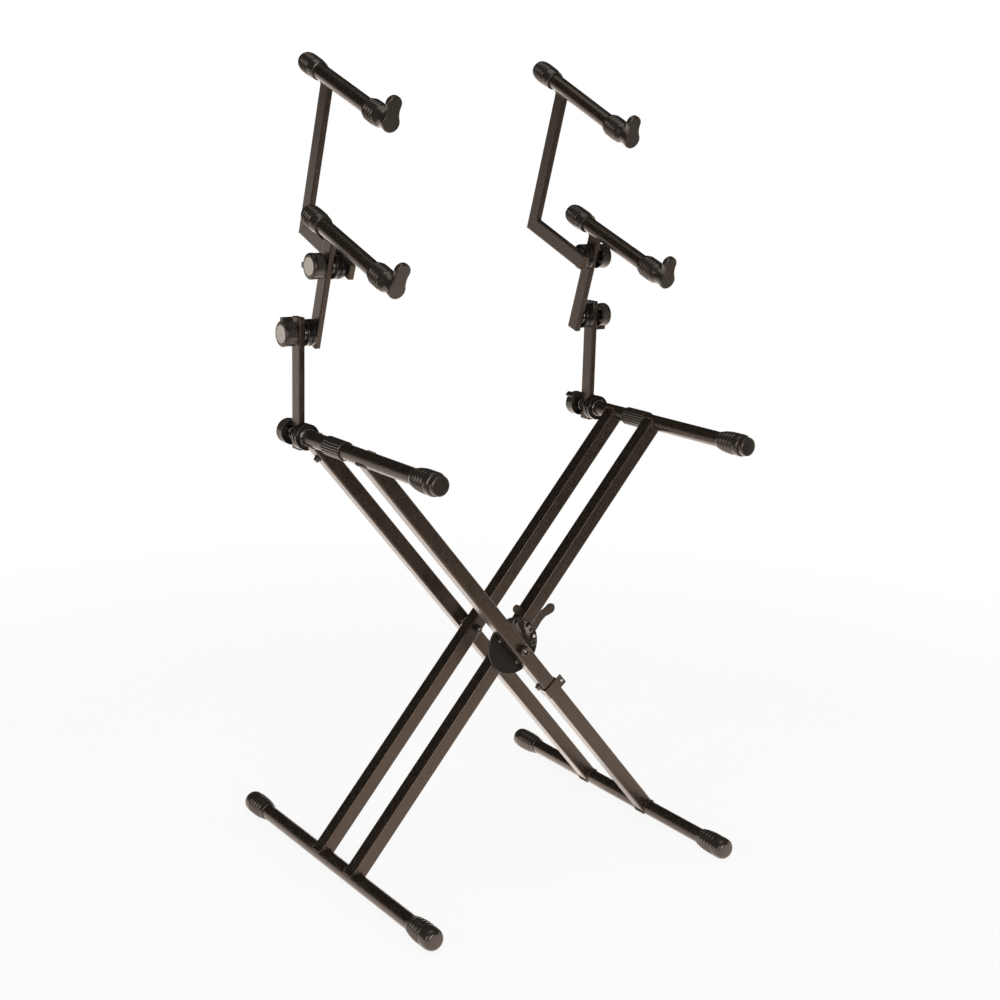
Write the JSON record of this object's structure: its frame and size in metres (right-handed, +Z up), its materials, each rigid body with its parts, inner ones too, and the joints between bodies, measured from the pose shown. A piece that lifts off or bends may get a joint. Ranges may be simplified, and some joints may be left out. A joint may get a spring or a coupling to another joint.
{
  "type": "three-tier keyboard stand",
  "caption": "Folding X-frame keyboard stand in black tube, with base arms and tilting upper tiers on clamped rosette joints, knobs, rubber stops and a disc-and-pin leg lock.",
  "frame": {"origin": "on the floor, under the middle of the four foot caps", "axes": "+X to the stand's right, -Y towards the player, +Z up"},
  "size_m": [0.6344, 0.592, 1.2826],
  "materials": {
    "powder_coat": "black satin powder coat with a fine speckle",
    "rubber": "black moulded rubber",
    "rosette": "glossy black moulded plastic",
    "knob": "black moulded plastic with a pale grey insert in its face",
    "zinc": "bright zinc plate"
  },
  "bodies": {
    "outer_frame": {"outer_leg_front": "powder_coat", "outer_leg_rear": "powder_coat", "outer_foot_tube": "powder_coat", "outer_arm_tube": "powder_coat", "right_foot_cap_front": "rubber", "right_foot_cap_back": "rubber", "left_arm_cap": "rubber", "left_arm_sleeve": "rubber", "left_arm_rosette": "rosette", "lock_disc": "powder_coat", "pivot_bolt_front": "zinc", "pivot_bolt_rear": "zinc", "leg_clip": "powder_coat", "leg_stud_front": "rubber", "leg_stud_rear": "rubber"},
    "inner_frame": {"inner_leg_front": "powder_coat", "inner_leg_rear": "powder_coat", "inner_foot_tube": "powder_coat", "inner_arm_tube": "powder_coat", "left_foot_cap_front": "rubber", "left_foot_cap_back": "rubber", "right_arm_cap": "rubber", "right_arm_sleeve": "rubber", "right_arm_rosette": "rosette"},
    "lock_trigger": {"release_lever": "powder_coat", "lock_pin": "zinc"},
    "left_post": {"left_post": "powder_coat", "left_post_base_rosette": "rosette", "left_post_top_rosette": "rosette"},
    "left_swivel_knob": {"left_swivel_knob": "knob"},
    "left_lower_tilt_knob": {"left_lower_tilt_knob": "knob"},
    "left_link": {"left_link": "powder_coat", "left_link_lower_rosette": "rosette", "left_link_upper_rosette": "rosette", "left_tier2_tube": "powder_coat", "left_tier2_back_cap": "rubber"},
    "left_upper_tilt_knob": {"left_upper_tilt_knob": "knob"},
    "left_tier2_stop": {"left_tier2_stop_cap": "rubber"},
    "left_upright": {"left_tier3_rosette": "rosette", "left_tier3_upright": "powder_coat", "left_tier3_tube": "powder_coat", "left_tier3_back_cap": "rubber"},
    "left_tier3_stop": {"left_tier3_stop_cap": "rubber"},
    "right_post": {"right_post": "powder_coat", "right_post_base_rosette": "rosette", "right_post_top_rosette": "rosette"},
    "right_swivel_knob": {"right_swivel_knob": "knob"},
    "right_lower_tilt_knob": {"right_lower_tilt_knob": "knob"},
    "right_link": {"right_link": "powder_coat", "right_link_lower_rosette": "rosette", "right_link_upper_rosette": "rosette", "right_tier2_tube": "powder_coat", "right_tier2_back_cap": "rubber"},
    "right_upper_tilt_knob": {"right_upper_tilt_knob": "knob"},
    "right_tier2_stop": {"right_tier2_stop_cap": "rubber"},
    "right_upright": {"right_tier3_rosette": "rosette", "right_tier3_upright": "powder_coat", "right_tier3_tube": "powder_coat", "right_tier3_back_cap": "rubber"},
    "right_tier3_stop": {"right_tier3_stop_cap": "rubber"}
  },
  "joints": [
    {"name": "leg_fold", "type": "hinge", "parent": "outer_frame", "child": "inner_frame", "pos_m": [0, -0.003, 0.35816], "axis": [0, -1, 0], "range_deg": [-35, 17.5]},
    {"name": "trigger_pull", "type": "slide", "parent": "inner_frame", "child": "lock_trigger", "axis": [0, 1, 0], "range_m": [0, 0.008], "stiffness_N_per_m": 600, "springref_m": -0.004},
    {"name": "left_post_swivel", "type": "hinge", "parent": "outer_frame", "child": "left_post", "pos_m": [-0.28644, 0.091, 0.69832], "axis": [0, -1, 0], "range_deg": [-40, 90]},
    {"name": "right_post_swivel", "type": "hinge", "parent": "inner_frame", "child": "right_post", "pos_m": [0.28644, 0.091, 0.69832], "axis": [0, 1, 0], "range_deg": [-40, 90]},
    {"name": "left_lower_tilt", "type": "hinge", "parent": "left_post", "child": "left_link", "pos_m": [-0.28644, 0.1245, 0.85712], "axis": [1, 0, 0], "range_deg": [-45, 45]},
    {"name": "right_lower_tilt", "type": "hinge", "parent": "right_post", "child": "right_link", "pos_m": [0.28644, 0.1245, 0.85712], "axis": [1, 0, 0], "range_deg": [-45, 45]},
    {"name": "left_upper_tilt", "type": "hinge", "parent": "left_link", "child": "left_upright", "pos_m": [-0.25544, 0.09228, 0.96251], "axis": [1, 0, 0], "range_deg": [-60, 40]},
    {"name": "right_upper_tilt", "type": "hinge", "parent": "right_link", "child": "right_upright", "pos_m": [0.25544, 0.09228, 0.96251], "axis": [1, 0, 0], "range_deg": [-60, 40]},
    {"name": "left_swivel_knob_turn", "type": "hinge", "parent": "left_post", "child": "left_swivel_knob", "pos_m": [-0.28644, 0.137, 0.69832], "axis": [0, 1, 0], "range_deg": [0, 360]},
    {"name": "right_swivel_knob_turn", "type": "hinge", "parent": "right_post", "child": "right_swivel_knob", "pos_m": [0.28644, 0.137, 0.69832], "axis": [0, 1, 0], "range_deg": [0, 360]},
    {"name": "left_lower_tilt_knob_turn", "type": "hinge", "parent": "left_post", "child": "left_lower_tilt_knob", "pos_m": [-0.29144, 0.1245, 0.85712], "axis": [-1, 0, 0], "range_deg": [0, 360]},
    {"name": "right_lower_tilt_knob_turn", "type": "hinge", "parent": "right_post", "child": "right_lower_tilt_knob", "pos_m": [0.29144, 0.1245, 0.85712], "axis": [1, 0, 0], "range_deg": [0, 360]},
    {"name": "left_upper_tilt_knob_turn", "type": "hinge", "parent": "left_link", "child": "left_upper_tilt_knob", "pos_m": [-0.26044, 0.09228, 0.96251], "axis": [-1, 0, 0], "range_deg": [0, 360]},
    {"name": "right_upper_tilt_knob_turn", "type": "hinge", "parent": "right_link", "child": "right_upper_tilt_knob", "pos_m": [0.26044, 0.09228, 0.96251], "axis": [1, 0, 0], "range_deg": [0, 360]},
    {"name": "left_tier2_stop_turn", "type": "hinge", "parent": "left_link", "child": "left_tier2_stop", "pos_m": [-0.25544, -0.0526, 0.96813], "axis": [0, -0.9444, -0.3289], "range_deg": [-180, 180]},
    {"name": "right_tier2_stop_turn", "type": "hinge", "parent": "right_link", "child": "right_tier2_stop", "pos_m": [0.25544, -0.04783, 0.96291], "axis": [0, -0.9426, -0.3338], "range_deg": [-180, 180]},
    {"name": "left_tier3_stop_turn", "type": "hinge", "parent": "left_upright", "child": "left_tier3_stop", "pos_m": [-0.22444, 0.01962, 1.1985], "axis": [0, -0.9444, -0.3289], "range_deg": [-180, 180]},
    {"name": "right_tier3_stop_turn", "type": "hinge", "parent": "right_upright", "child": "right_tier3_stop", "pos_m": [0.22444, 0.01784, 1.18471], "axis": [0, -0.9178, -0.3971], "range_deg": [-180, 180]}
  ]
}
